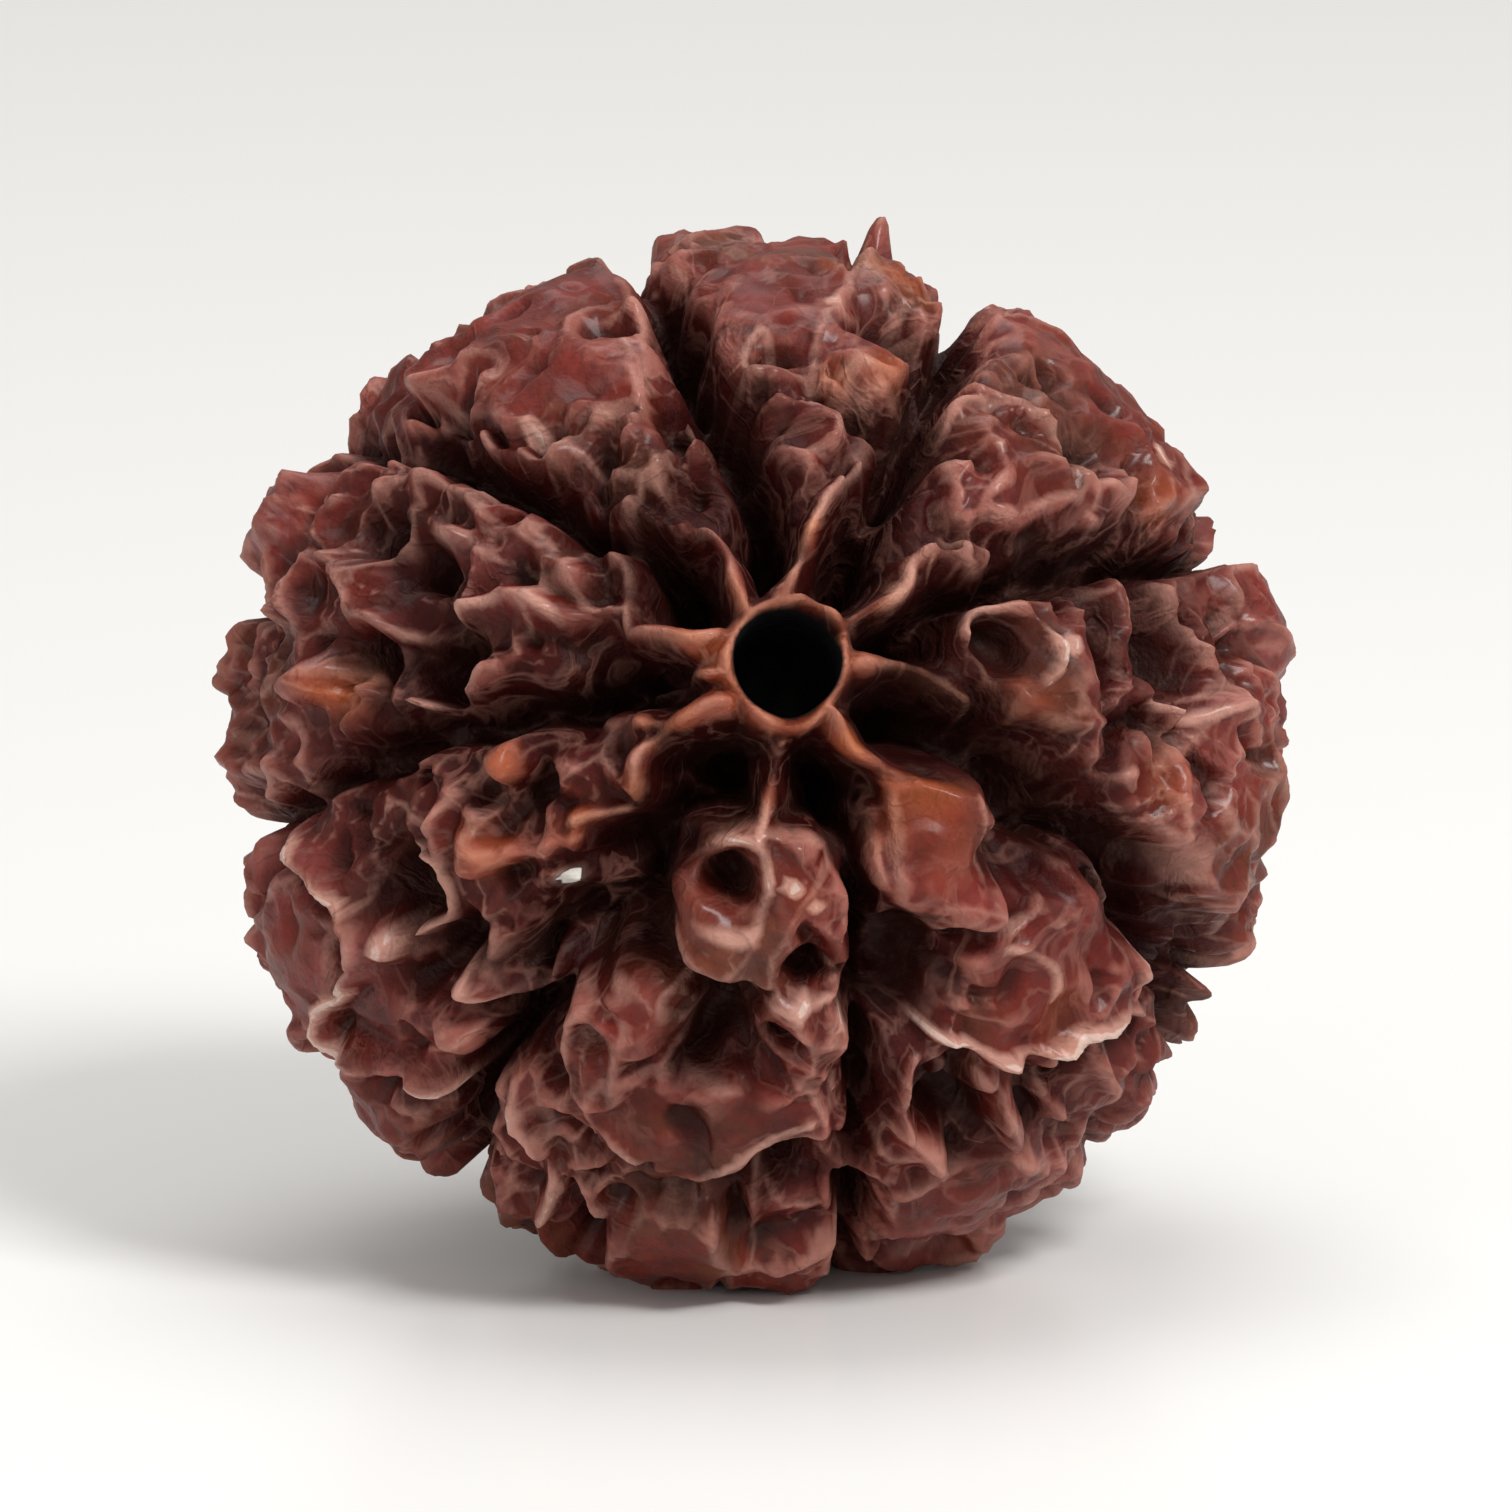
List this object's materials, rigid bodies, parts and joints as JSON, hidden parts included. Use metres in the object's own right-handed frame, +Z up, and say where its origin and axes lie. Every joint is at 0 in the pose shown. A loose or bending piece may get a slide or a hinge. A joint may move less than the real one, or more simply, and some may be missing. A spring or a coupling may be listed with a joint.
{
  "type": "rudraksha bead",
  "caption": "Dried rudraksha seed bead, a slightly flattened ball cut by deep grooves from mouth to mouth, with a knobbly net of ridges and pits and a bore through it for a thread.",
  "frame": {"origin": "on the surface it rests on, under the middle of its bounding box", "axes": "+Z up; the front mouth looks to -Y and is tipped up by 25 degrees; +X to the right seen from the front mouth"},
  "size_m": [0.0243, 0.0213, 0.0229],
  "materials": {
    "seed_stone": "satin, oiled seed stone"
  },
  "bodies": {
    "root": {"bead": "seed_stone"}
  },
  "joints": []
}
